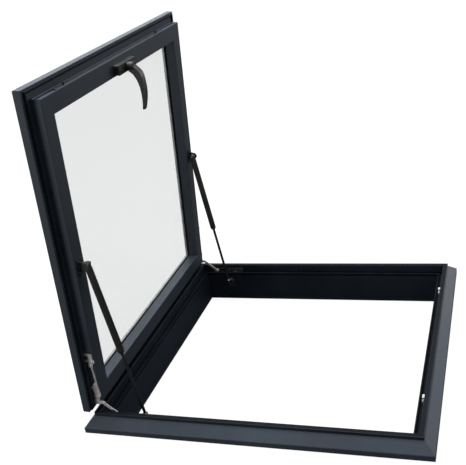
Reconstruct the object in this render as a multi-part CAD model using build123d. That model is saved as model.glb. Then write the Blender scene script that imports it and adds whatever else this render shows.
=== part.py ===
"""Roof access window: a glazed sash that swings up from a kerb frame.

Millimetres. X runs from the hinge side to the lock side, Y from front to back, Z is up.
The origin is the centre of the frame's foot. The sash is built closed, then swung open.
"""
from build123d import *
from math import atan2, cos, degrees, hypot, radians, sin, sqrt
import os

# Fixed frame

flange_half = 450.0           # half the flange's outer width
flange_depth = 26.0           # from the lip in to the wall
flange_bottom = 78.0          # flat underside that lies on the roof
lip_top = 93.0
slope_top = 116.5             # where the slope meets the wall
flange_skin = 2.5

wall_skin = 2.4
rim_thickness = 13.0          # thin upper rim
ledge_z = 92.5
nose_depth = 29.0             # how far the ledge's nose reaches in from the outer face
nose_height = 10.0
lining_setback = 1.5          # lining behind the nose
foot_lip_height = 8.0
chamber_web_z = 45.0
rim_groove_z = (105.0, 113.0)
rim_groove_depth = 1.2
rim_groove_half = 0.7
top_groove = (2.0, 6.0)       # in from the outer face
top_groove_depth = 3.0
edge_break = 0.8

seal_inset = 24.5             # in from the wall's outer face
seal_width = 4.5
seal_height = 10.5
seal_round = 1.3
seal_gap = 1.0                # under the closed leaf

# Sash, measured as u from the cap's hinge edge and w down from its outer face

open_angle = 84.9
hinge_out = 2.0               # hinge line past the wall's outer face
hinge_drop = 3.5              # hinge line below the top of the wall

pane_recess = 0.5
pane_thickness = 4.0
pane_gap = 6.0
pane_cover = 12.0             # pane's edge behind the leaf's inner face
pane_clearance = 1.5
spacer_inset = (3.0, 10.0)    # in from the pane's edge
gasket_height = 4.0
gasket_lip = 1.0
shelf_thickness = 2.5

cap_chamfer = 3.0
cap_skin = 2.4
hinge_overhang = 18.0         # cap past the leaf
lock_overhang = 25.0
side_overhang = 28.5
cap_seal_width = 6.0
cap_seal_height = 4.5
cap_seal_inset = 3.5          # in from the wall's outer face
cap_seal_edge = 1.0           # in from the cap's hinge edge
cap_seal_gap = 0.5            # over the rim
cap_seal_bevel = 1.5

gutter = 11.0                 # between the rim and the leaf
leaf_drop = 26.0              # leaf below the cap
leaf_face = 44.5              # width of the leaf's inner face
leaf_skin = 2.4

# Lock, on the rail opposite the hinges

lock_groove_up = 9.5          # centre of the groove above the leaf's inner face
lock_groove_width = 15.0
lock_groove_depth = 3.5
lock_bar_inset = (80.0, 110.0)  # from the leaf's front and back corners
lock_bar_thickness = 2.0
lock_bar_width = 14.0
lock_throw = 16.0
keep_inset = 133.0            # from the leaf's corners
cam_radius = 2.5
cam_reach = 6.5               # past the leaf's side face
keep_height = 17.0
keep_width = 13.0
keep_base = 1.5
keep_reach = 6.0
keep_gap = 6.6
keep_round = 2.0

# Handle: points are (distance from the spindle, height over the leaf's inner face)

handle_base_size = (26.0, 105.0, 16.0)
handle_base_inset = 28.0      # in from the leaf's lock face
handle_base_y = -3.0
handle_base_radius = 5.0
handle_edge = 1.5
spindle_inset = 29.5
spindle_y = -2.0
boss_radius = 11.5
boss_height = 16.7
lever_outer = ((-3.5, 32), (0.5, 37), (13.5, 50), (35.5, 56), (61.5, 58), (84, 55.5), (108.5, 49.5))
lever_inner = ((109.5, 44), (86, 46.5), (66.5, 46.5), (45.5, 43.5), (28.5, 37.5), (15.5, 28), (11.5, 21))
lever_root_half = 10.5
lever_tip_half = 6.5
lever_corner = 2.5

# Gas struts, on both sides of the opening

strut_along = 394.0           # sash pivot, from the leaf's hinge face
strut_rise = 15.0             # sash pivot over the leaf's inner face
strut_offset = 12.0           # strut's axis beside the ear of its lug
strut_foot_out = 118.5        # frame pivot, from the hinge line
strut_foot_z = 75.0
tube_radius = 9.0
tube_bore = 7.6
tube_start = 9.0              # from the sash pivot
tube_end = 253.0
tube_cap = 6.0
tube_round = 4.0
rod_radius = 4.0
piston_radius = 7.3
piston_length = 12.0
piston_stand = 32.5           # piston past the tube's cap, with the sash open
running_gap = 0.3
tube_eye_radius = 8.5
rod_eye_radius = 7.0
rod_eye_length = 24.0
eye_round = 2.0
stud_radius = 3.5
lug_base = (40.0, 20.0, 2.5)
lug_inset = 20.0              # in from the leaf's side face
lug_ear_thickness = 3.0
lug_ear_radius = 10.0
lug_ear_spread = 3.0
foot_size = (30.0, 33.0)
foot_radius = 9.0
foot_thickness = 3.0
foot_shift = (-3.5, -11.0)    # plate's centre from the pivot
foot_boss_radius = 9.0
foot_boss_gap = 2.0

# Link hinges: points are (distance from the leaf's hinge face, distance below the cap)

arm_thickness = 2.2
link_thickness = 2.3
link_half_width = 4.0
link_eye = (-1.0, 30.4)
link_frame_out = 64.5         # shoe's pin from the wall's outer face, with the sash open
link_frame_z = 106.5
pin_radius = 1.5
shoe_radius = 4.6
arm_head = ((62, 14), (52, 8), (44, 1.5), (37, 6), (26, 9), (13, 7), (-9, 4), (-9.5, 16), (-5, 29.5),
            (3, 29.5), (4, 20), (15, 20.5), (18, 25), (26, 26), (42, 24), (62, 21))
arm_bar = ((60, 18), (113, 13.3), (113, 17.7), (60, 22.4))
arm_fork = ((109, 12), (111, 9), (120, 9), (126, 10), (126, 1.5), (132, 1.5), (132, 10), (145, 10),
            (145, 1.5), (152, 1.5), (152, 22), (134, 22), (132, 26), (125, 26), (123, 21), (109, 19))
track_start = 46.0            # from the wall's outer face
track_length = 112.0
track_height = 17.0
track_up = 3.5                # above the ledge
track_thickness = 2.5
track_corner = 3.0
slot_lift = 1.1               # slot's centre over the shoe's pin
slot_half = 3.3
slot_slack = 1.8
track_hole_inset = (7.0, 9.6)  # from the track's ends
track_hole_middle = 60.0
track_hole_up = 8.6
track_hole_radius = 2.2

# Worked out from the sizes above

wall_half = flange_half - flange_depth
lining_thickness = nose_depth - lining_setback
leaf_half = wall_half - rim_thickness - gutter
daylight_half = leaf_half - leaf_face
pane_half = daylight_half + pane_cover
rebate_half = pane_half + pane_clearance
outer_pane_w = (pane_recess, pane_recess + pane_thickness)
inner_pane_w = (outer_pane_w[1] + pane_gap, outer_pane_w[1] + pane_gap + pane_thickness)
shelf_w = inner_pane_w[1] + gasket_height
cap_thickness = shelf_w + shelf_thickness
leaf_w = cap_thickness + leaf_drop
leaf_u = (hinge_overhang, hinge_overhang + 2 * leaf_half)
sash_x = -leaf_half - hinge_overhang
sash_z = ledge_z + seal_height + seal_gap + leaf_w
wall_top = sash_z - cap_thickness - cap_seal_height - cap_seal_gap
hinge_x = -wall_half - hinge_out
hinge_z = wall_top - hinge_drop
lock_w = leaf_w - lock_groove_up
keep_y = (keep_inset - leaf_half, leaf_half - keep_inset)
lug_y = leaf_half - lug_inset
strut_y = lug_y - strut_offset
strut_foot_x = hinge_x + strut_foot_out
lining_face = wall_half - lining_thickness
foot_boss_face = strut_y + rod_eye_radius + foot_boss_gap
rim_face = wall_half - rim_thickness
track_face = rim_face - track_thickness
link_frame_x = -wall_half + link_frame_out

sides = ("hinge", "lock", "front", "back")
ends = (("front", -1), ("back", 1))


def mitred_rail(side, outer, inner, section, chambers=()):
    """One straight rail of a rectangular ring, cut along the lines between its corners.

    Section points are (distance in from the outer edge, height).
    """
    x0, x1, y0, y1 = outer
    p0, p1, q0, q1 = inner

    def bar(points):
        if side == "hinge":
            placed = [(x0 + t, z) for t, z in points]
        elif side == "lock":
            placed = [(x1 - t, z) for t, z in points]
        elif side == "front":
            placed = [(y0 + t, z) for t, z in points]
        else:
            placed = [(y1 - t, z) for t, z in points]
        if side in ("hinge", "lock"):
            return extrude(Plane.XZ.offset(-y1) * Polygon(*placed, align=None), y1 - y0, dir=(0, -1, 0))
        return extrude(Plane.YZ.offset(x0) * Polygon(*placed, align=None), x1 - x0, dir=(1, 0, 0))

    body = bar(section)
    for chamber in chambers:
        body -= bar(chamber)
    pairs = {
        "hinge": (((x0, y0), (p0, q0)), ((x0, y1), (p0, q1))),
        "lock": (((x1, y0), (p1, q0)), ((x1, y1), (p1, q1))),
        "front": (((x0, y0), (p0, q0)), ((x1, y0), (p1, q0))),
        "back": (((x0, y1), (p0, q1)), ((x1, y1), (p1, q1))),
    }
    plan = []
    for far, near in pairs[side]:
        step = (far[0] - near[0], far[1] - near[1])
        line = [(near[0] + 2 * step[0], near[1] + 2 * step[1]), (near[0] - step[0], near[1] - step[1])]
        plan += line if not plan else reversed(line)
    lowest = min(z for t, z in section)
    highest = max(z for t, z in section)
    wedge = extrude(
        Plane.XY.offset(lowest - 1) * Polygon(*plan, align=None), highest - lowest + 2, dir=(0, 0, 1)
    )
    return body & wedge


def ring(outer, inner, low, high):
    """A flat rectangular ring between two heights; outer and inner are (x0, x1, y0, y1)."""
    def block(edge):
        x0, x1, y0, y1 = edge
        plate = Pos((x0 + x1) / 2, (y0 + y1) / 2, low) * Rectangle(x1 - x0, y1 - y0)
        return extrude(plate, high - low, dir=(0, 0, 1))

    return block(outer) - block(inner)


def square(half, centre_x=0.0):
    return (centre_x - half, centre_x + half, -half, half)


def cylinder_y(x, y0, y1, z, radius):
    """A cylinder along Y between two y values."""
    return extrude(Plane.XZ.offset(-max(y0, y1)) * Pos(x, z) * Circle(radius), abs(y1 - y0), dir=(0, -1, 0))


def plate_y(shape, y0, y1):
    """A flat plate whose outline is drawn in X and Z, between two y values."""
    return extrude(Plane.XZ.offset(-max(y0, y1)) * shape, abs(y1 - y0), dir=(0, -1, 0))


def sash_point(u, w):
    """Closed position of a point of the sash, as (x, z)."""
    return (sash_x + u, sash_z - w)


def swung(x, z, angle=open_angle):
    """Position of a closed (x, z) once the sash has swung by an angle."""
    turn = radians(angle)
    across = x - hinge_x
    up = z - hinge_z
    return (
        hinge_x + across * cos(turn) - up * sin(turn),
        hinge_z + across * sin(turn) + up * cos(turn),
    )


def opened(shape):
    """The sash's pieces turn about the hinge line into the open pose."""
    return shape.rotate(Axis((hinge_x, 0, hinge_z), (0, 1, 0)), -open_angle)


# Frame walls: thin rim, ledge, thick lining

def wall_rail(side):
    grooves = []
    for z in rim_groove_z:
        grooves += [
            (rim_thickness, z - rim_groove_half),
            (rim_thickness - rim_groove_depth, z - rim_groove_half),
            (rim_thickness - rim_groove_depth, z + rim_groove_half),
            (rim_thickness, z + rim_groove_half),
        ]
    section = [
        (0, 0),
        (nose_depth, 0),
        (nose_depth, foot_lip_height),
        (lining_thickness, foot_lip_height),
        (lining_thickness, ledge_z - nose_height),
        (nose_depth, ledge_z - nose_height),
        (nose_depth, ledge_z),
        (rim_thickness, ledge_z),
        *grooves,
        (rim_thickness, wall_top - edge_break),
        (rim_thickness - edge_break, wall_top),
        (top_groove[1], wall_top),
        (top_groove[1], wall_top - top_groove_depth),
        (top_groove[0], wall_top - top_groove_depth),
        (top_groove[0], wall_top),
        (edge_break, wall_top),
        (0, wall_top - edge_break),
    ]

    def chamber(depth, low, high):
        return [(wall_skin, low), (depth, low), (depth, high), (wall_skin, high)]

    lining_inside = lining_thickness - wall_skin
    rim_inside = rim_thickness - rim_groove_depth - wall_skin
    chambers = (
        chamber(lining_inside, wall_skin, chamber_web_z),
        chamber(lining_inside, chamber_web_z + wall_skin, ledge_z - wall_skin),
        chamber(rim_inside, ledge_z, wall_top - top_groove_depth - wall_skin),
    )
    return mitred_rail(side, square(wall_half), square(wall_half - nose_depth), section, chambers)


def flange_rail(side):
    depth = flange_depth
    rise = slope_top - lip_top
    section = [
        (0, flange_bottom),
        (depth, flange_bottom),
        (depth, slope_top),
        (edge_break, lip_top + edge_break * rise / depth),
        (0, lip_top - edge_break),
    ]
    low = flange_bottom + flange_skin
    inside = depth - flange_skin
    chamber = [
        (flange_skin, low),
        (inside, low),
        (inside, slope_top - flange_skin - 2 * flange_skin * rise / depth),
        (flange_skin, lip_top - flange_skin),
    ]
    return mitred_rail(side, square(flange_half), square(wall_half), section, (chamber,))


def frame_seal():
    """Rubber strip with a rounded back, standing on the ledge."""
    outer = square(wall_half - seal_inset)
    inner = square(wall_half - seal_inset - seal_width)
    strip = ring(outer, inner, ledge_z, ledge_z + seal_height)
    return chamfer(strip.edges().group_by(Axis.Z)[-1], seal_round)


# Sash rails

def cap_rail(side):
    outer = (sash_x, leaf_half + lock_overhang, -leaf_half - side_overhang, leaf_half + side_overhang)
    inner = square(daylight_half)
    widths = {
        "hinge": inner[0] - outer[0],
        "lock": outer[1] - inner[1],
        "front": inner[2] - outer[2],
        "back": outer[3] - inner[3],
    }
    width = widths[side]
    rebate = width - (rebate_half - daylight_half)
    section = [
        (cap_chamfer, sash_z),
        (rebate, sash_z),
        (rebate, sash_z - shelf_w),
        (width, sash_z - shelf_w),
        (width, sash_z - cap_thickness),
        (edge_break, sash_z - cap_thickness),
        (0, sash_z - cap_thickness + edge_break),
        (0, sash_z - cap_chamfer),
    ]
    inside = rebate - cap_skin
    chamber = [
        (cap_skin, sash_z - cap_skin - cap_chamfer),
        (cap_skin + cap_chamfer, sash_z - cap_skin),
        (inside, sash_z - cap_skin),
        (inside, sash_z - cap_thickness + cap_skin),
        (cap_skin, sash_z - cap_thickness + cap_skin),
    ]
    return opened(mitred_rail(side, outer, inner, section, (chamber,)))


def leaf_rail(side):
    width = leaf_face
    top = sash_z - cap_thickness
    bottom = sash_z - leaf_w
    outside = 0
    section = [
        (edge_break, bottom),
        (width - edge_break, bottom),
        (width, bottom + edge_break),
        (width, top),
        (0, top),
    ]
    if side == "lock":
        groove_top = sash_z - lock_w + lock_groove_width / 2
        groove_bottom = sash_z - lock_w - lock_groove_width / 2
        outside = lock_groove_depth
        section += [
            (0, groove_top),
            (lock_groove_depth, groove_top),
            (lock_groove_depth, groove_bottom),
            (0, groove_bottom),
        ]
    section.append((0, bottom + edge_break))
    chamber = [
        (outside + leaf_skin, bottom + leaf_skin),
        (width - leaf_skin, bottom + leaf_skin),
        (width - leaf_skin, top - leaf_skin),
        (outside + leaf_skin, top - leaf_skin),
    ]
    return opened(mitred_rail(side, square(leaf_half), square(daylight_half), section, (chamber,)))


def pane(span):
    sheet = Pos(0, 0, sash_z - span[1]) * Rectangle(2 * pane_half, 2 * pane_half)
    return opened(extrude(sheet, span[1] - span[0], dir=(0, 0, 1)))


def pane_spacer():
    """Bar that keeps the two panes apart round their edge."""
    low = sash_z - inner_pane_w[0]
    high = sash_z - outer_pane_w[1]
    near, far = spacer_inset
    return opened(ring(square(pane_half - near), square(pane_half - far), low, high))


def glazing_gasket():
    """Black strip between the inner pane and the shelf."""
    low = sash_z - shelf_w
    high = sash_z - inner_pane_w[1]
    return opened(ring(square(pane_half), square(daylight_half - gasket_lip), low, high))


def cap_seal():
    """Strip under the cap's overhang that meets the top of the rim."""
    top = sash_z - cap_thickness
    reach = wall_half - cap_seal_inset
    start = sash_x + cap_seal_edge
    width = cap_seal_width
    outer = (start, reach, -reach, reach)
    inner = (start + width, reach - width, width - reach, reach - width)
    strip = ring(outer, inner, top - cap_seal_height, top)
    return opened(chamfer(strip.edges().group_by(Axis.Z)[0], cap_seal_bevel))


# Lock

def lock_bar():
    """Flat bar in the leaf's groove, with two round cams that slide into the keeps."""
    floor_x = leaf_half - lock_groove_depth + running_gap
    low_y = lock_bar_inset[0] - leaf_half
    high_y = leaf_half - lock_bar_inset[1]
    z = sash_z - lock_w
    bar = Pos(floor_x + lock_bar_thickness / 2, (low_y + high_y) / 2, z) * Box(
        lock_bar_thickness, high_y - low_y, lock_bar_width
    )
    for y in keep_y:
        start = floor_x + lock_bar_thickness
        cam = Plane.YZ.offset(start) * Pos(y - lock_throw, z) * Circle(cam_radius)
        bar += extrude(cam, leaf_half + cam_reach - start, dir=(1, 0, 0))
    return opened(bar)


def lock_keep(y):
    """Keep with two rounded lips; a cam slides between them."""
    face_x = rim_face
    z = sash_z - lock_w
    base = Pos(face_x - keep_base / 2, y, z) * Box(keep_base, keep_width, keep_height)
    lip_height = (keep_height - keep_gap) / 2
    for side in (-1, 1):
        lip_z = z + side * (keep_gap + lip_height) / 2
        lip = Pos(face_x - keep_base - (keep_reach - keep_base) / 2, y, lip_z) * Box(
            keep_reach - keep_base, keep_width, lip_height
        )
        nose = lip.edges().filter_by(Axis.Y).group_by(Axis.X)[0]
        base += fillet(nose, keep_round)
    return base


# Handle

def handle_base():
    length_u, length_y, height = handle_base_size
    x, z = sash_point(leaf_u[1] - handle_base_inset, leaf_w)
    outline = Pos(x, handle_base_y, z - height) * RectangleRounded(length_u, length_y, handle_base_radius)
    block = extrude(outline, height, dir=(0, 0, 1))
    return opened(chamfer(block.edges().group_by(Axis.Z)[0], handle_edge))


def lever_point(along, height):
    return sash_point(leaf_u[1] - spindle_inset - along, leaf_w + height)


def handle_lever():
    """Round boss with a lever that curves away from the glass and narrows to its tip."""
    boss_x, boss_top = lever_point(0, handle_base_size[2] + running_gap)
    disc = Pos(boss_x, spindle_y, boss_top) * Circle(boss_radius)
    boss = extrude(disc, boss_height, dir=(0, 0, -1))
    boss = chamfer(boss.edges().group_by(Axis.Z)[0], handle_edge)

    outer = [lever_point(*point) for point in lever_outer]
    inner = [lever_point(*point) for point in lever_inner]
    tip = Line(outer[-1], inner[0])
    root = Line(inner[-1], outer[0])
    side_view = make_face([Spline(*outer), tip, Spline(*inner), root])
    grip = plate_y(side_view, spindle_y - lever_root_half, spindle_y + lever_root_half)

    root_x = outer[0][0]
    tip_x = inner[0][0]
    plan = Polygon(
        (root_x, spindle_y - lever_root_half),
        (root_x, spindle_y + lever_root_half),
        (tip_x + lever_corner, spindle_y + lever_tip_half),
        (tip_x, spindle_y + lever_tip_half - lever_corner),
        (tip_x, spindle_y - lever_tip_half + lever_corner),
        (tip_x + lever_corner, spindle_y - lever_tip_half),
        align=None,
    )
    lowest = min(z for x, z in outer) - boss_height
    highest = max(z for x, z in inner) + boss_height
    grip = grip & extrude(Plane.XY.offset(lowest) * plan, highest - lowest, dir=(0, 0, 1))
    return opened(boss + grip)


# Gas struts

strut_closed = sash_point(leaf_u[0] + strut_along, leaf_w + strut_rise)
strut_top = swung(*strut_closed)
strut_length = hypot(strut_top[0] - strut_foot_x, strut_top[1] - strut_foot_z)
rod_length = strut_length - tube_end + tube_cap + piston_stand + piston_length
strut_lean = degrees(atan2(strut_top[0] - strut_foot_x, strut_top[1] - strut_foot_z))


def on_strut(shape, hand):
    """Shape drawn up from the frame pivot along Z, laid along the open strut."""
    return Pos(strut_foot_x, hand * strut_y, strut_foot_z) * Rot(0, strut_lean, 0) * shape


def turned(steps):
    """Solid of revolution about Z from (height, radius) steps."""
    profile = [(0, steps[0][0])]
    profile += [(radius, height) for height, radius in steps]
    profile.append((0, steps[-1][0]))
    return revolve(Plane.XZ * Polygon(*profile, align=None), Axis.Z)


def strut_tube(hand):
    """Black tube, open inside for the rod, with a round end on the sash pivot."""
    low = strut_length - tube_end
    high = strut_length - tube_start
    tube = turned((
        (low, tube_radius - tube_round),
        (low + tube_round / 3, tube_radius - tube_round / 3),
        (low + tube_round, tube_radius),
        (high, tube_radius),
        (high, tube_eye_radius),
        (strut_length + tube_eye_radius - 2 * eye_round, tube_eye_radius),
        (strut_length + tube_eye_radius, tube_eye_radius - 2 * eye_round),
    ))
    bore = Pos(0, 0, low + tube_cap) * Cylinder(
        tube_bore, high - low - 2 * tube_cap, align=(Align.CENTER, Align.CENTER, Align.MIN)
    )
    guide = Pos(0, 0, low - running_gap) * Cylinder(
        rod_radius + running_gap, tube_cap + 2 * running_gap, align=(Align.CENTER, Align.CENTER, Align.MIN)
    )
    socket = Pos(0, 0, strut_length) * Rot(90, 0, 0) * Cylinder(stud_radius + running_gap, 4 * tube_radius)
    return on_strut(tube - bore - guide - socket, hand)


def strut_rod(hand):
    """Rod with its piston, and a round end with the stud that meets the frame's foot."""
    piston_low = rod_length - piston_length
    neck = rod_eye_length - rod_eye_radius
    rod = turned((
        (-rod_eye_radius, rod_eye_radius - eye_round),
        (-rod_eye_radius + eye_round, rod_eye_radius),
        (neck - eye_round, rod_eye_radius),
        (neck, rod_radius),
        (piston_low, rod_radius),
        (piston_low, piston_radius),
        (rod_length, piston_radius),
    ))
    reach = foot_boss_face - running_gap
    stud = cylinder_y(strut_foot_x, hand * strut_y, hand * reach, strut_foot_z, stud_radius)
    return on_strut(rod, hand) + stud


def strut_lug(hand):
    """Angle on the sash with the stud that the tube turns on."""
    x, z = strut_closed
    face_z = sash_z - leaf_w
    length, width, thickness = lug_base
    base = Pos(x, hand * lug_y, face_z - thickness / 2) * Box(length, width, thickness)
    foot_half = lug_ear_radius + lug_ear_spread
    ear_outline = Polygon(
        (x - foot_half, face_z - thickness / 2),
        (x - lug_ear_radius, z),
        (x + lug_ear_radius, z),
        (x + foot_half, face_z - thickness / 2),
        align=None,
    )
    near = hand * (lug_y - lug_ear_thickness / 2)
    far = hand * (lug_y + lug_ear_thickness / 2)
    ear = plate_y(ear_outline, near, far) + cylinder_y(x, near, far, z, lug_ear_radius)
    stud = cylinder_y(x, hand * (strut_y - tube_eye_radius - eye_round), far, z, stud_radius)
    return opened(base + ear + stud)


def strut_foot(hand):
    """Rounded plate on the lining, with a boss that the strut's stud meets."""
    shift_x, shift_z = foot_shift
    outline = Pos(strut_foot_x + shift_x, strut_foot_z + shift_z) * RectangleRounded(*foot_size, foot_radius)
    plate_face = hand * (lining_face - foot_thickness)
    plate = plate_y(outline, plate_face, hand * lining_face)
    boss = cylinder_y(strut_foot_x, hand * foot_boss_face, plate_face, strut_foot_z, foot_boss_radius)
    return plate + boss


# Link hinges

eye_closed = sash_point(leaf_u[0] + link_eye[0], cap_thickness + link_eye[1])
link_sash = swung(*eye_closed)
link_length = hypot(link_frame_x - link_sash[0], link_frame_z - link_sash[1])


def arm_plate(points, hand):
    """Flat piece of the arm, on the leaf's side face."""
    outline = [sash_point(leaf_u[0] + along, cap_thickness + below) for along, below in points]
    return plate_y(Polygon(*outline, align=None), hand * leaf_half, hand * (leaf_half + arm_thickness))


def hinge_arm(hand):
    """Stamped arm on the leaf's side: pivot eye, head, thin bar and forked end."""
    arm = arm_plate(arm_head, hand) + arm_plate(arm_bar, hand) + arm_plate(arm_fork, hand)
    start = hand * leaf_half
    end = hand * (leaf_half + arm_thickness)
    arm += cylinder_y(eye_closed[0], start, end, eye_closed[1], link_half_width)
    arm -= cylinder_y(eye_closed[0], start, end, eye_closed[1], pin_radius + running_gap)
    return opened(arm)


def hinge_link(hand):
    """Link from the sash arm's eye to a shoe that slides along the track."""
    inside = leaf_half + arm_thickness + running_gap
    outside = inside + link_thickness
    lean = degrees(atan2(link_frame_z - link_sash[1], link_frame_x - link_sash[0]))
    middle = ((link_frame_x + link_sash[0]) / 2, (link_frame_z + link_sash[1]) / 2)
    outline = Pos(*middle) * Rot(0, 0, lean) * SlotCenterToCenter(link_length, 2 * link_half_width)
    link = plate_y(outline, hand * inside, hand * outside)
    link += cylinder_y(link_sash[0], hand * leaf_half, hand * inside, link_sash[1], pin_radius)
    shoe_end = track_face - running_gap
    link += cylinder_y(link_frame_x, hand * outside, hand * shoe_end, link_frame_z, shoe_radius)
    stud_end = rim_face - running_gap
    link += cylinder_y(link_frame_x, hand * shoe_end, hand * stud_end, link_frame_z, pin_radius)
    return link


def shoe_travel():
    """Ends of the shoe's way along the track while the sash swings."""
    places = []
    for angle in range(round(open_angle) + 1):
        x, z = swung(*eye_closed, angle)
        places.append(x + sqrt(link_length ** 2 - (z - link_frame_z) ** 2))
    return min(places + [link_frame_x]), max(places)


def hinge_track(hand):
    """Slotted plate on the rim that guides the link's shoe."""
    left = -wall_half + track_start
    bottom = ledge_z + track_up
    sheet = Pos(left + track_length / 2, bottom + track_height / 2) * Rectangle(track_length, track_height)
    sheet = chamfer(sheet.vertices(), track_corner)
    first, last = shoe_travel()
    slot = SlotOverall(last - first + 2 * (pin_radius + slot_slack), 2 * slot_half)
    sheet -= Pos((first + last) / 2, link_frame_z + slot_lift) * slot
    near, far = track_hole_inset
    for along in (near, track_hole_middle, track_length - far):
        sheet -= Pos(left + along, bottom + track_hole_up) * Circle(track_hole_radius)
    return plate_y(sheet, hand * track_face, hand * rim_face)


parts = {
    "frame_seal": frame_seal(),
    "outer_pane": pane(outer_pane_w),
    "inner_pane": pane(inner_pane_w),
    "pane_spacer": pane_spacer(),
    "glazing_gasket": glazing_gasket(),
    "cap_seal": cap_seal(),
    "lock_bar": lock_bar(),
    "handle_base": handle_base(),
    "handle_lever": handle_lever(),
}
for side in sides:
    parts["frame_wall_" + side] = wall_rail(side)
    parts["flange_" + side] = flange_rail(side)
    parts["cap_rail_" + side] = cap_rail(side)
    parts["leaf_rail_" + side] = leaf_rail(side)
for end, hand in ends:
    parts["strut_tube_" + end] = strut_tube(hand)
    parts["strut_rod_" + end] = strut_rod(hand)
    parts["strut_lug_" + end] = strut_lug(hand)
    parts["strut_foot_" + end] = strut_foot(hand)
    parts["hinge_arm_" + end] = hinge_arm(hand)
    parts["hinge_link_" + end] = hinge_link(hand)
    parts["hinge_track_" + end] = hinge_track(hand)
for (end, hand), y in zip(ends, keep_y):
    parts["lock_keep_" + end] = lock_keep(y)

os.makedirs("parts", exist_ok=True)
for name, shape in parts.items():
    export_step(shape, "parts/" + name + ".step")
    print(name, "solids", len(shape.solids()), "volume", round(shape.volume))
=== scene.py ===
# %% [markdown]
# # Roof access window
#
# An open roof window: a dark kerb frame lies in the roof, and a glazed sash stands up from it
# on two link hinges, held by two gas struts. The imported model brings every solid. This script
# gives each one its finish and adds seals and small fasteners, then sets the floor, light and
# camera.
#
# Blender works in metres. The sizes of pieces are written in millimetres and scaled by MM. X runs
# from the hinge side to the lock side, Y from front to back.

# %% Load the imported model
from math import cos, pi, radians, sin
import bmesh
import bpy
from mathutils import Matrix, Vector


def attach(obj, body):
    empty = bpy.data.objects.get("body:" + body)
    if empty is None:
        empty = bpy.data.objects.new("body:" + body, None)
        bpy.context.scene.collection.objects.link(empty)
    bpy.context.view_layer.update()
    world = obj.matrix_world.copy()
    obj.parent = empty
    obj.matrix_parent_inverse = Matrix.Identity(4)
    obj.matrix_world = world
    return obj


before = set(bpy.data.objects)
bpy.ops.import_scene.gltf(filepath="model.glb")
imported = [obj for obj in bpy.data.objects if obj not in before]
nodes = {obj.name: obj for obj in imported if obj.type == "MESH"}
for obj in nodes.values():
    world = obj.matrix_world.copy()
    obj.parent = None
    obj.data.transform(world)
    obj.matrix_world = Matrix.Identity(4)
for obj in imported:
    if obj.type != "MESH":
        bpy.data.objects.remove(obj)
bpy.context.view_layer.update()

# %% [markdown]
# ## The sash's own directions
#
# The sash was drawn lying closed and then swung open about the hinge line. A place on it is
# easiest to give as u, the distance from its hinge edge, y, and w, the depth from the outer
# face. This step turns such a place into one in the open pose.

# %% Places on the sash and on the frame
MM = 0.001
HINGE = Vector((-426, 0, 121.5)) * MM
SWING = Matrix.Rotation(-radians(84.9), 4, "Y")


def on_sash(u, y, w):
    """A place on the open sash from u, y and w in millimetres."""
    closed = Vector((-418 + u, y, 151 - w)) * MM
    return HINGE + SWING @ (closed - HINGE)


U_WAY = (on_sash(1, 0, 0) - on_sash(0, 0, 0)).normalized()
W_WAY = (on_sash(0, 0, 1) - on_sash(0, 0, 0)).normalized()
Y_WAY = Vector((0, 1, 0))
print("sash leans along", [round(v, 3) for v in U_WAY])

# %% [markdown]
# ## Shader sums
#
# Materials here are worked out from noise. A small class holds one socket of a node tree, so a
# finish can be written as plain arithmetic, and one method makes any other node.

# %% One class for shader sums
class Wire:
    """One output socket; arithmetic on it adds Math nodes to the tree."""

    def __init__(self, tree, socket=None):
        self.tree = tree
        self.socket = socket

    def make(self, kind, settings=None, values=None, out=0):
        """Adds a node, sets its settings, then its inputs by name or number."""
        node = self.tree.nodes.new(kind)
        for key, value in (settings or {}).items():
            setattr(node, key, value)
        for key, value in (values or {}).items():
            if isinstance(value, Wire):
                self.tree.links.new(value.socket, node.inputs[key])
            else:
                node.inputs[key].default_value = value
        return Wire(self.tree, node.outputs[out] if len(node.outputs) else None)

    def sum(self, operation, first, second):
        return self.make("ShaderNodeMath", {"operation": operation}, {0: first, 1: second})

    def __add__(self, other):
        return self.sum("ADD", self, other)

    def __radd__(self, other):
        return self.sum("ADD", other, self)

    def __sub__(self, other):
        return self.sum("SUBTRACT", self, other)

    def __rsub__(self, other):
        return self.sum("SUBTRACT", other, self)

    def __mul__(self, other):
        return self.sum("MULTIPLY", self, other)

    def __rmul__(self, other):
        return self.sum("MULTIPLY", other, self)

    def blend(self, first, second):
        """Mixes two colours with this value as the share of the second."""
        settings = {"data_type": "RGBA", "clamp_factor": True}
        return self.make("ShaderNodeMix", settings, {0: self, 6: first, 7: second}, out=2)

    def between(self, low, high):
        """Stretches this value so that low becomes 0 and high becomes 1, and stops there."""
        return self.make(
            "ShaderNodeMapRange", {"clamp": True}, {"Value": self, "From Min": low, "From Max": high}
        )


def start_material(name):
    """An empty material; returns it with its first Wire and its coordinates in metres."""
    material = bpy.data.materials.new(name)
    material.use_nodes = True
    tree = material.node_tree
    tree.nodes.clear()
    wire = Wire(tree)
    place = wire.make("ShaderNodeTexCoord", out=3)
    return material, wire, place


def stretched(wire, place, scale):
    """Coordinates scaled differently along X, Y and Z."""
    return wire.make("ShaderNodeMapping", {"vector_type": "POINT"}, {"Vector": place, "Scale": scale})


def noise(wire, place, scale, detail=3.0, rough=0.5):
    """Smooth noise from 0 to 1; scale is in features per metre."""
    values = {"Vector": place, "Scale": scale, "Detail": detail, "Roughness": rough}
    return wire.make("ShaderNodeTexNoise", {"noise_dimensions": "3D"}, values)


def finish_material(material, wire, values, height=None, depth=0.0001, strength=0.5):
    """Joins a Principled shader, with a bump from the height, to the output."""
    if height is not None:
        values = dict(values)
        values["Normal"] = wire.make(
            "ShaderNodeBump", {}, {"Strength": strength, "Distance": depth, "Height": height}
        )
    shader = wire.make("ShaderNodeBsdfPrincipled", {}, values)
    wire.make("ShaderNodeOutputMaterial", {}, {"Surface": shader})
    return material


print("shader class ready")

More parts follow.
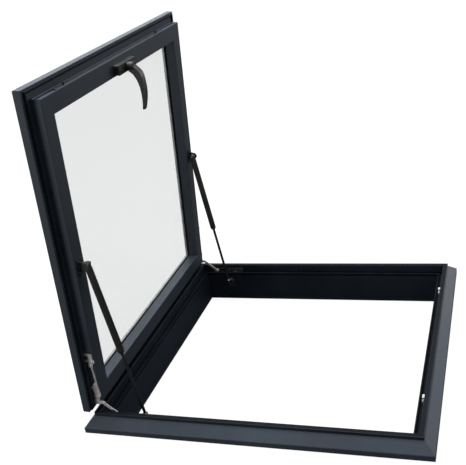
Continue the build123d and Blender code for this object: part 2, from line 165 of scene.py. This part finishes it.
# %% [markdown]
# ## Powder coat on the profiles
#
# The frame and sash are extruded aluminium with a fine matt coat. Close up it has a pebbled
# skin, faint lines along the extrusion, and thin dust that makes it a little paler and duller.
# The lines run along each rail, so there is one material for each direction. The walls inside
# the kerb look almost black in the photograph because they lie in shade. So they wear a darker,
# less glossy copy of the same coat on every face, which is painted shade.

# %% Powder-coated profiles
def powder_coat(name, along, colour, sheen=0.4, roughness=0.48):
    """Dark coat whose draw lines run along one axis."""
    material, wire, place = start_material(name)
    lines_scale = [700.0, 700.0, 700.0]
    lines_scale[along] = 3.0
    pebbles = noise(wire, place, 1500.0, 2.0)
    lines = noise(wire, stretched(wire, place, lines_scale), 1.0, 2.0)
    dust = noise(wire, place, 7.0, 5.0, 0.6).between(0.42, 0.75)
    specks = noise(wire, place, 420.0, 2.0).between(0.70, 0.78)
    darker = [v * 0.86 for v in colour] + [1.0]
    paler = [v * 1.25 + 0.002 for v in colour] + [1.0]
    base = dust.blend(darker, paler)
    base = (specks * 0.35).blend(base, [0.10, 0.105, 0.11, 1.0])
    values = {
        "Base Color": base,
        "Roughness": roughness + dust * 0.10 + pebbles * 0.06,
        "Metallic": 0.0,
        "Specular IOR Level": sheen,
    }
    return finish_material(material, wire, values, pebbles * 0.75 + lines * 0.25, 0.00012, 0.35)


COAT = (0.034, 0.047, 0.066)
coat_x = powder_coat("coat_along_x", 0, COAT)
coat_y = powder_coat("coat_along_y", 1, COAT)
coat_u = powder_coat("coat_along_sash", 2, COAT)
# Painted shade: a darker, less glossy copy of the coat for the kerb walls, which lie in shade.
SHADED_COAT = (0.012, 0.019, 0.031)
shaded_coat_x = powder_coat("painted_shade_coat_along_x", 0, SHADED_COAT, 0.22)
shaded_coat_y = powder_coat("painted_shade_coat_along_y", 1, SHADED_COAT, 0.22)
coats = {
    "frame_wall_": (shaded_coat_y, shaded_coat_x),
    "flange_": (coat_y, coat_x),
    "cap_rail_": (coat_y, coat_u),
    "leaf_rail_": (coat_y, coat_u),
}
for family, (on_sides, on_ends) in coats.items():
    for side in ("hinge", "lock", "front", "back"):
        rail = nodes[family + side].data
        rail.materials.clear()
        rail.materials.append(on_sides if side in ("hinge", "lock") else on_ends)
print("coated 16 rails")

# %% [markdown]
# ## Rubber, glass and metal parts
#
# Rubber is dull and almost black. Each pane is mostly see-through, with a little gloss mixed in,
# so that the white room behind it stays light. Brushed metal and satin black share one idea:
# a base colour that clouds slightly, and a fine grain that roughens the gloss.

# %% Rubber seals
def rubber(name):
    """Dull, almost black rubber with a faint bloom."""
    material, wire, place = start_material(name)
    grain = noise(wire, place, 900.0, 3.0)
    bloom = noise(wire, place, 14.0, 4.0).between(0.45, 0.8)
    values = {
        "Base Color": bloom.blend([0.005, 0.007, 0.010, 1.0], [0.011, 0.015, 0.021, 1.0]),
        "Roughness": 0.6 + grain * 0.2,
        "Specular IOR Level": 0.08,
    }
    return finish_material(material, wire, values, grain, 0.00015, 0.4)


print("rubber ready")

# %% Clear glass
def clear_glass(name):
    """Clear pane: mostly see-through, with a faint even gloss and a few smears."""
    material, wire, place = start_material(name)
    smears = noise(wire, stretched(wire, place, (3.0, 9.0, 4.0)), 1.0, 6.0, 0.7).between(0.5, 0.8)
    clear = wire.make("ShaderNodeBsdfTransparent", {}, {"Color": [0.936, 0.939, 0.938, 1.0]})
    gloss = wire.make(
        "ShaderNodeBsdfPrincipled",
        {},
        {"Base Color": [0.75, 0.77, 0.77, 1.0], "Metallic": 1.0, "Roughness": 0.02 + smears * 0.03},
    )
    mixed = wire.make("ShaderNodeMixShader", {}, {0: 0.018, 1: clear, 2: gloss})
    wire.make("ShaderNodeOutputMaterial", {}, {"Surface": mixed})
    return material


print("glass ready")

# %% Bright and dark metal
def brushed_metal(name, colour, roughness, scale=(2500.0, 2500.0, 90.0), metallic=1.0):
    """Metal with short brush marks and small cloudy patches."""
    material, wire, place = start_material(name)
    brush = noise(wire, stretched(wire, place, scale), 1.0, 3.0)
    cloud = noise(wire, place, 60.0, 4.0, 0.6)
    darker = [v * 0.72 for v in colour] + [1.0]
    lighter = [min(1.0, v * 1.1) for v in colour] + [1.0]
    values = {
        "Base Color": cloud.between(0.35, 0.65).blend(darker, lighter),
        "Roughness": roughness + brush * 0.12 + cloud * 0.08,
        "Metallic": metallic,
    }
    return finish_material(material, wire, values, brush, 0.00005, 0.3)


def satin_black(name, colour, roughness):
    """Satin black paint or moulding with a soft, slightly uneven skin."""
    material, wire, place = start_material(name)
    skin = noise(wire, place, 700.0, 3.0)
    cloud = noise(wire, place, 25.0, 4.0).between(0.4, 0.7)
    values = {
        "Base Color": cloud.blend([v * 0.8 for v in colour] + [1.0], [v * 1.5 for v in colour] + [1.0]),
        "Roughness": roughness + cloud * 0.08 + skin * 0.05,
        "Specular IOR Level": 0.5,
    }
    return finish_material(material, wire, values, skin, 0.00008, 0.3)


print("metal and black finishes ready")

# %% Which part wears which finish
finishes = {
    "rubber_seal": rubber("rubber_seal"),
    "window_glass": clear_glass("window_glass"),
    "spacer_metal": brushed_metal("spacer_metal", (0.36, 0.37, 0.38), 0.45),
    "hinge_steel": brushed_metal("hinge_steel", (0.92, 0.87, 0.84), 0.34, metallic=0.15),
    "track_steel": brushed_metal("track_steel", (0.12, 0.12, 0.12), 0.38, metallic=0.8),
    "rivet_steel": brushed_metal("rivet_steel", (0.80, 0.79, 0.77), 0.26, metallic=0.7),
    "lock_steel": brushed_metal("lock_steel", (0.05, 0.055, 0.06), 0.4),
    "rod_steel": brushed_metal("rod_steel", (0.06, 0.063, 0.07), 0.25),
    "keep_cast": brushed_metal("keep_cast", (0.86, 0.86, 0.85), 0.4, metallic=0.2),
    "handle_black": satin_black("handle_black", (0.008, 0.008, 0.009), 0.38),
    "strut_black": satin_black("strut_black", (0.007, 0.007, 0.008), 0.38),
    "bracket_black": satin_black("bracket_black", (0.011, 0.012, 0.014), 0.42),
}
worn_by = {
    "rubber_seal": ("frame_seal", "cap_seal", "glazing_gasket"),
    "window_glass": ("outer_pane", "inner_pane"),
    "spacer_metal": ("pane_spacer",),
    "hinge_steel": ("hinge_arm_", "hinge_link_"),
    "track_steel": ("hinge_track_",),
    "lock_steel": ("lock_bar",),
    "rod_steel": ("strut_rod_",),
    "keep_cast": ("lock_keep_",),
    "handle_black": ("handle_base", "handle_lever"),
    "strut_black": ("strut_tube_",),
    "bracket_black": ("strut_lug_", "strut_foot_"),
}
for finish, starts in worn_by.items():
    for name, node in nodes.items():
        if name.startswith(starts):
            node.data.materials.clear()
            node.data.materials.append(finishes[finish])
print(len(finishes), "more finishes")

# %% [markdown]
# ## Small pieces: how they are made
#
# Screws, rivets and collars are turned shapes: a few rings about one axis. A seal is a strip
# with one section: straight along the hinge side, or mitred round the four corners of the frame.
# Three helpers cover them all. Each sets the finish and the body to ride on.

# %% Helpers for turned heads and seal strips
WALL_HALF = 424.0
CORNERS = ((-1, -1), (1, -1), (1, 1), (-1, 1))


def new_piece(name, shape, body, finish):
    """Turns a bmesh into an object that rides on a body."""
    bmesh.ops.recalc_face_normals(shape, faces=shape.faces)
    mesh = bpy.data.meshes.new(name)
    shape.to_mesh(mesh)
    shape.free()
    mesh.materials.append(finishes[finish])
    piece = bpy.data.objects.new(name, mesh)
    bpy.context.collection.objects.link(piece)
    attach(piece, body)
    return piece


def join_rings(shape, rings, closed):
    """Faces between neighbouring rings of points; closed also joins the last to the first."""
    pairs = list(zip(rings, rings[1:]))
    if closed:
        pairs.append((rings[-1], rings[0]))
    for near, far in pairs:
        for i in range(len(near)):
            j = (i + 1) % len(near)
            shape.faces.new((near[i], near[j], far[j], far[i]))
    if not closed:
        shape.faces.new(rings[0])
        shape.faces.new(rings[-1])


def turned(name, place, facing, steps, body, finish, slot, lobes=0):
    """Turned shape on a face: steps are (radius, height) in mm, from the face outwards.

    With lobes, the last two rings are a socket with that many rounded corners.
    """
    sides = 36
    shape = bmesh.new()
    aim = Vector(facing).to_track_quat("Z", "Y")
    rings = []
    for number, (radius, height) in enumerate(steps):
        ring = []
        for i in range(sides):
            angle = 2 * pi * i / sides
            here = radius
            if lobes and number >= len(steps) - 2:
                here = radius * (1 + 0.16 * cos(lobes * angle))
            point = Vector((here * cos(angle), here * sin(angle), height)) * MM
            ring.append(shape.verts.new(Vector(place) + aim @ point))
        rings.append(ring)
    join_rings(shape, rings, closed=False)
    return new_piece(name, shape, body, finish)


def strip(name, section, y_ends, body, finish):
    """Straight strip along Y; the section is a list of places at y = 0."""
    shape = bmesh.new()
    rings = [[shape.verts.new(point + Vector((0, y, 0)) * MM) for point in section] for y in y_ends]
    join_rings(shape, rings, closed=False)
    return new_piece(name, shape, body, finish)


def mitred_ring(name, section, body, finish):
    """Strip round the frame; section points are (in from the wall's outer face, height)."""
    shape = bmesh.new()
    rings = []
    for side_x, side_y in CORNERS:
        ring = []
        for depth, z in section:
            out = WALL_HALF - depth
            ring.append(shape.verts.new(Vector((side_x * out, side_y * out, z)) * MM))
        rings.append(ring)
    join_rings(shape, rings, closed=True)
    return new_piece(name, shape, body, finish)


# (radius, height) steps for a radius of 1: proud with a socket, domed, and almost flush
SCREW = ((1.0, 0.0), (1.0, 0.25), (0.86, 0.5), (0.5, 0.62), (0.46, 0.58), (0.40, 0.2))
RIVET = ((1.0, 0.0), (0.96, 0.22), (0.78, 0.42), (0.45, 0.5), (0.3, 0.44), (0.1, 0.42))
FLUSH = ((1.0, -0.1), (1.0, 0.04), (0.94, 0.1), (0.5, 0.1), (0.46, 0.08), (0.40, -0.3))


def sized(steps, radius):
    """The steps of a head at its real radius."""
    return [(r * radius, h * radius) for r, h in steps]


print("helpers ready")

# %% [markdown]
# ## Seals, and a strip of painted shade
#
# The top of the rim is almost all black in the photograph, which is too small to show why. Here a
# gasket fills its groove and lies over the inner ridge, so that only a thin metal lip shows
# outside. A ribbed black strip covers the ledge. It is painted shade, standing in for the shade in
# the gutter between the rim and the frame seal. On the hinge side a soft fin stands on the outer
# lip, so that no daylight shows between the open sash and the wall. All three are guesses that
# give the right look.

# %% Rim gasket, ledge strip of painted shade and hinge fin
RIM_GASKET = (
    (2.1, 122.1), (5.9, 122.1), (5.9, 125.02), (12.1, 125.02), (12.2, 125.2), (11.6, 125.42),
    (9.4, 125.30), (8.6, 125.30), (6.6, 125.45), (4.0, 125.48), (2.5, 125.3), (2.1, 124.6),
)
mitred_ring("rim_gasket", RIM_GASKET, "frame", "rubber_seal")
# Painted shade: a black ribbed strip over the ledge, where the gutter beside the frame seal lies in shade.
LEDGE_SHADE_STRIP = (
    (13.1, 92.5), (24.4, 92.5), (24.4, 93.4), (22.2, 93.4), (21.8, 94.6), (20.8, 94.6), (20.4, 93.4),
    (17.6, 93.4), (17.2, 94.2), (16.2, 94.2), (15.8, 93.4), (13.1, 93.4),
)
mitred_ring("ledge_shade_strip", LEDGE_SHADE_STRIP, "frame", "rubber_seal")
FIN = (
    (-424.0, 123.6), (-422.3, 123.6), (-422.3, 125.4), (-423.0, 128.6), (-423.6, 128.8), (-424.0, 128.0),
)
FIN_HALF = 423.4
fin_section = [Vector((x, 0, z)) * MM for x, z in FIN]
strip("hinge_fin", fin_section, (-FIN_HALF, FIN_HALF), "frame", "rubber_seal")
print("3 seals")

# %% [markdown]
# ## Fasteners
#
# The photograph shows bright heads on the hinges and their tracks, and no others clearly. The
# heads on the struts, keeps and handle are where such pieces are usually fixed. Every head is
# placed on a face of the piece that it holds, on both ends of the window, and stands less than
# three millimetres proud, so that the moving parts still pass each other.

# %% Heads on the hinges
ENDS = (("front", -1), ("back", 1))
STEEL = ("rivet_steel", "bright_steel")
BLACK_BRACKET = ("bracket_black", "bracket_black")
ARM_FACE = 402.2        # these faces are measured from the window's middle
LINK_FACE = 404.8
TRACK_FACE = 408.5
ARM_RIVETS = ((62, 28.5, 2.6), (33, 33, 2.4), (48, 38, 2.2), (116, 37.6, 1.6))      # u, w, radius
ARM_SCREWS = ((134, 35), (148, 41))                                                 # u, w
TRACK_SCREWS = ((-371, 104.6, 2.4), (-318, 104.6, 2.6), (-294.4, 99.6, 2.4))        # x, z, radius
for end, hand in ENDS:
    outwards = Y_WAY * hand
    for number, (u, w, radius) in enumerate(ARM_RIVETS):
        place = on_sash(u, hand * ARM_FACE, w)
        turned(f"arm_rivet_{end}_{number}", place, outwards, sized(RIVET, radius), "sash", *STEEL)
    for number, (u, w) in enumerate(ARM_SCREWS):
        place = on_sash(u, hand * ARM_FACE, w)
        turned(f"arm_screw_{end}_{number}", place, outwards, sized(SCREW, 3.0), "sash", *STEEL, 6)
    pin_head = Vector((-401.96, hand * LINK_FACE, 144.45)) * MM
    turned(f"link_pin_{end}", pin_head, outwards, sized(RIVET, 2.9), "link_" + end, *STEEL)
    for number, (x, z, radius) in enumerate(TRACK_SCREWS):
        place = Vector((x, hand * TRACK_FACE, z)) * MM
        turned(f"track_screw_{end}_{number}", place, -outwards, sized(FLUSH, radius), "frame", *STEEL, 6)
print("hinge heads on both ends")

# %% Heads on the struts' brackets
STRUT_Y = 368.0
STRUT_FOOT = Vector((-307.5, 0, 75)) * MM
STRUT_WAY = Vector((-0.10504, 0, 0.99447))      # from the foot up the open strut
TUBE_END = 211.1                                # from the foot's pivot, with the sash open
PIVOT_U, PIVOT_W = 412, 62
STUD_END = 10.5                                 # from the strut's axis towards the window's middle
LUG_FACE = 49.5
LUG_SCREW_Y = 386.2
FOOT_FACE = 393.5
FOOT_SCREWS = ((-319.5, 56), (-302.5, 55))      # x, z
WIPER = ((4.4, 0.2), (4.4, -1.6), (5.6, -1.6), (6.6, -0.6), (6.9, 0.6))
for end, hand in ENDS:
    inwards = -Y_WAY * hand
    for number, u in enumerate((398, 426)):
        place = on_sash(u, hand * LUG_SCREW_Y, LUG_FACE)
        turned(f"lug_screw_{end}_{number}", place, W_WAY, sized(SCREW, 2.9), "sash", *BLACK_BRACKET, 6)
    for number, (x, z) in enumerate(FOOT_SCREWS):
        place = Vector((x, hand * FOOT_FACE, z)) * MM
        turned(f"foot_screw_{end}_{number}", place, inwards, sized(SCREW, 2.8), "frame", *BLACK_BRACKET, 6)
    beside = Vector((0, hand * STRUT_Y, 0)) * MM
    low = STRUT_FOOT + STRUT_WAY * TUBE_END * MM + beside
    turned(f"rod_wiper_{end}", low, STRUT_WAY, WIPER, "tube_" + end, "rubber_seal", "black_rubber")
    clip_place = on_sash(PIVOT_U, hand * (STRUT_Y - STUD_END), PIVOT_W)
    turned(f"stud_clip_{end}", clip_place, inwards, sized(SCREW, 4.2), "sash", *BLACK_BRACKET, 6)
print("strut heads on both ends")

# %% Heads on the keeps and the handle
SASH_TOP = 151
LOCK_W = 37.5
KEEP_FACE = 405.0
KEEP_Y = 267
KEEP_SCREW_UP = 5.9             # above and below the keep's middle
BASE_U, BASE_Y, BASE_FACE = 790, -3, 63
BASE_PLUG_Y = 43                # either side of the base's middle
BAR_FACE = 816.8
HANDLE = ("handle_black", "black_handle")
LOCK = ("lock_steel", "dark_steel")
for number, y in enumerate((-KEEP_Y, KEEP_Y)):
    for level, side in (("low", -1), ("high", 1)):
        place = Vector((KEEP_FACE, y, SASH_TOP - LOCK_W + side * KEEP_SCREW_UP)) * MM
        turned(f"keep_screw_{number}_{level}", place, (-1, 0, 0), sized(FLUSH, 1.6), "frame", *STEEL, 6)
for number, y in enumerate((BASE_Y - BASE_PLUG_Y, BASE_Y + BASE_PLUG_Y)):
    place = on_sash(BASE_U, y, BASE_FACE)
    turned(f"base_plug_{number}", place, W_WAY, sized(RIVET, 3.4), "sash", *HANDLE)
turned("boss_plug", on_sash(788.5, -2, 80), W_WAY, sized(RIVET, 5.0), "handle", *HANDLE)
for number, y in enumerate((-312, 282)):
    place = on_sash(BAR_FACE, y, LOCK_W)
    turned(f"bar_screw_{number}", place, U_WAY, sized(FLUSH, 2.4), "lock_slider", *LOCK, 6)
print("keep and handle heads")

# %% [markdown]
# ## Floor
#
# The flange lies on a pale floor with a hole for the lining, as it would on a roof, and a second
# pale sheet under the opening keeps the view through it light. The camera sees both as white. To
# the window itself they are dark, so that they throw little light up on its inner faces.

# %% Floor and sheet under the opening
def flat_sheet(name, corners, faces, material):
    """Flat mesh that belongs to the stage and not to the window."""
    mesh = bpy.data.meshes.new(name)
    mesh.from_pydata(corners, [], faces)
    mesh.materials.append(material)
    sheet = bpy.data.objects.new(name, mesh)
    bpy.context.collection.objects.link(sheet)
    return sheet


def pale_floor(name, shade, mirrored):
    """Pale floor for the camera and through glass; mirrored is the share that gloss sees of it."""
    material, wire, place = start_material(name)
    mottle = noise(wire, place, 3.0, 4.0)
    pale = wire.make(
        "ShaderNodeBsdfPrincipled",
        {},
        {
            "Base Color": mottle.blend([0.11, 0.11, 0.11, 1.0], [0.13, 0.13, 0.13, 1.0]),
            "Roughness": 0.9,
            "Emission Color": [1.0, 1.0, 1.0, 1.0],
            "Emission Strength": 0.92,
        },
    )
    dim = wire.make("ShaderNodeBsdfDiffuse", {}, {"Color": [shade, shade, shade, 1.0]})
    seen = wire.make("ShaderNodeLightPath", out=0)
    shiny = wire.make("ShaderNodeLightPath", out=3)
    through = wire.make("ShaderNodeLightPath", out=6)
    mixed = wire.make("ShaderNodeMixShader", {}, {0: seen + through + shiny * mirrored, 1: dim, 2: pale})
    wire.make("ShaderNodeOutputMaterial", {}, {"Surface": mixed})
    return material


FLOOR_Z = 0.078         # the flange's underside
reach = 60.0
hole = 0.4241           # just clear of the walls
corners = [(x * half, y * half, FLOOR_Z) for half in (reach, hole) for x, y in CORNERS]
quads = [(0, 1, 5, 4), (1, 2, 6, 5), (2, 3, 7, 6), (3, 0, 4, 7)]
flat_sheet("floor", corners, quads, pale_floor("floor_paint", 0.07, 0.08))
SHEET_HALF = 0.44
SHEET_Z = -0.002
under = [(x * SHEET_HALF, y * SHEET_HALF, SHEET_Z) for x, y in CORNERS]
flat_sheet("sheet_below", under, [(0, 1, 2, 3)], pale_floor("sheet_paint", 0.05, 0.05))
print("floor at", FLOOR_Z, "m with a hole of", 2 * hole, "m")

# %% [markdown]
# ## Light
#
# One wide lamp overhead gives the plain level. A low one beyond the lock side puts the grey sheen
# on the right flange, one behind the sash picks out its upper edge, and a weak one in front,
# beyond the hinge side, shows the hinges. The world is dim for plain surfaces and white for the
# camera, for gloss and through the glass.

# %% Soft studio light
def area_lamp(name, place, aim, size, power):
    """Soft rectangular lamp; size is its width and height."""
    lamp = bpy.data.lights.new(name, "AREA")
    lamp.shape = "RECTANGLE"
    lamp.size, lamp.size_y = size
    lamp.energy = power
    holder = bpy.data.objects.new(name, lamp)
    holder.location = place
    holder.rotation_euler = (Vector(aim) - Vector(place)).to_track_quat("-Z", "Y").to_euler()
    bpy.context.collection.objects.link(holder)
    holder.visible_camera = False
    holder.visible_transmission = False


area_lamp("lamp_over", (-0.3, 0.6, 4.2), (0, 0, 0.3), (2.0, 2.0), 190)
area_lamp("lamp_sheen", (3.7, 5.0, 1.3), (0, 0, 0.3), (3.2, 2.0), 45)
area_lamp("lamp_front", (-1.8, -3.4, 0.5), (-0.4, -0.3, 0.2), (1.5, 0.5), 24)
area_lamp("lamp_edge", (-2.6, 4.6, 2.0), (-0.4, 0, 0.9), (3.0, 1.5), 36)

world = bpy.data.worlds.new("soft_room")
bpy.context.scene.world = world
world.use_nodes = True
world.node_tree.nodes.clear()
sky = Wire(world.node_tree)
room = sky.make("ShaderNodeBackground", {}, {"Color": [1, 1, 1, 1], "Strength": 0.10})
white = sky.make("ShaderNodeBackground", {}, {"Color": [1, 1, 1, 1], "Strength": 1.0})
seen = sky.make("ShaderNodeLightPath", out=0)
shiny = sky.make("ShaderNodeLightPath", out=3)
through = sky.make("ShaderNodeLightPath", out=6)
mixed = sky.make("ShaderNodeMixShader", {}, {0: seen + shiny + through, 1: room, 2: white})
sky.make("ShaderNodeOutputWorld", {}, {"Surface": mixed})
print("4 lamps and a white room")

# %% [markdown]
# ## Camera
#
# Yaw, pitch, roll, focal length and place come from a fit of the frame's and the sash's corners
# to the photograph. The picture's centre is off the optical axis, which the shift sets.

# %% Camera at the photograph's angle
focal_px = 742.23
image_w, image_h = 466, 465
centre_px = (244.85, 303.10)
yaw, pitch, roll = radians(21.552), radians(29.185), radians(-9.808)
camera_place = Vector((0.57288, -1.75111, 1.26858))

forward = Vector((-sin(yaw) * cos(pitch), cos(yaw) * cos(pitch), -sin(pitch)))
level_right = forward.cross(Vector((0, 0, 1))).normalized()
level_up = level_right.cross(forward)
right = cos(roll) * level_right + sin(roll) * level_up
up = -sin(roll) * level_right + cos(roll) * level_up

camera_data = bpy.data.cameras.new("photo_camera")
camera_data.sensor_width = 36.0
camera_data.lens = focal_px / image_w * 36.0
camera_data.shift_x = (image_w / 2 - centre_px[0]) / image_w
camera_data.shift_y = (centre_px[1] - image_h / 2) / image_w
camera = bpy.data.objects.new("photo_camera", camera_data)
turn = Matrix((right, up, -forward)).transposed().to_4x4()
camera.matrix_world = Matrix.Translation(camera_place) @ turn
bpy.context.collection.objects.link(camera)
bpy.context.scene.camera = camera
bpy.context.scene.view_settings.view_transform = "Standard"
print("camera lens", round(camera_data.lens, 2))
